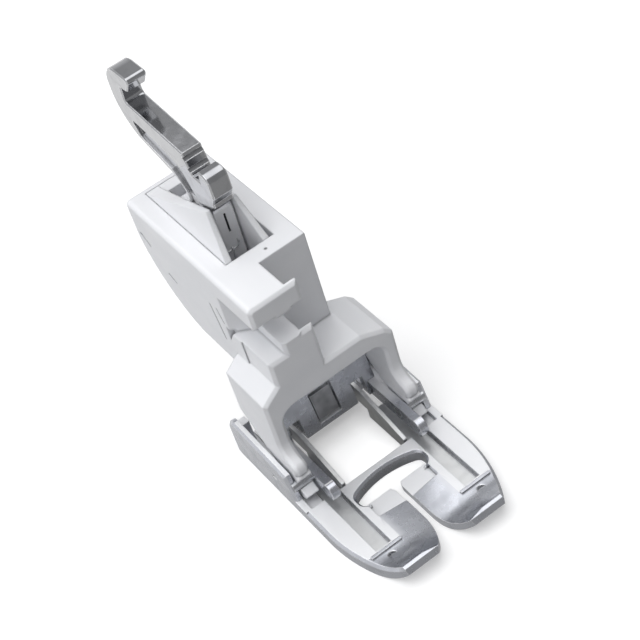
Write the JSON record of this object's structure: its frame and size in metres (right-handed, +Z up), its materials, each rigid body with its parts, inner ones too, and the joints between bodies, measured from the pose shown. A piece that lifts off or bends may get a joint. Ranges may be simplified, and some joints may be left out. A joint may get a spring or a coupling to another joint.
{
  "type": "sewing machine presser foot",
  "caption": "Presser foot with upper feed: white plastic holder with a hooked chrome drive lever, and a hinged chrome foot whose toothed feed dogs slide in side slots.",
  "frame": {"origin": "on the sole, in the middle of the strip just behind the needle opening", "axes": "+X to the right seen from the sewer, +Y to the rear, +Z up along the presser bar"},
  "size_m": [0.0262, 0.0635, 0.0598],
  "materials": {
    "white_plastic": "satin moulded",
    "chrome": "bright plated casting",
    "steel": "ground",
    "bush": "turned"
  },
  "bodies": {
    "holder": {"holder_body": "white_plastic", "lever_guide": "white_plastic", "pivot_pin": "steel", "pivot_clip": "steel"},
    "lever": {"drive_lever": "chrome", "pivot_bush": "bush"},
    "sole_foot": {"foot": "chrome", "foot_pin_left": "steel", "foot_pin_right": "steel"},
    "feed": {"feed_carrier": "steel", "feed_dog_left": "steel", "feed_dog_right": "steel", "dog_rivets": "steel"}
  },
  "joints": [
    {"name": "lever_swing", "type": "hinge", "parent": "holder", "child": "lever", "pos_m": [0, 0.0228, 0.0275], "axis": [1, 0, 0], "range_deg": [0, 15.4]},
    {"name": "foot_rock", "type": "hinge", "parent": "holder", "child": "sole_foot", "pos_m": [0, 0.0048, 0.0045], "axis": [1, 0, 0], "range_deg": [-8, 0]},
    {"name": "feed_slide", "type": "slide", "parent": "sole_foot", "child": "feed", "axis": [0, 1, 0], "range_m": [0, 0.0055]}
  ],
  "couplings": [
    {"joint": "feed_slide", "follows": "lever_swing", "m_per_rad": 0.0204}
  ]
}
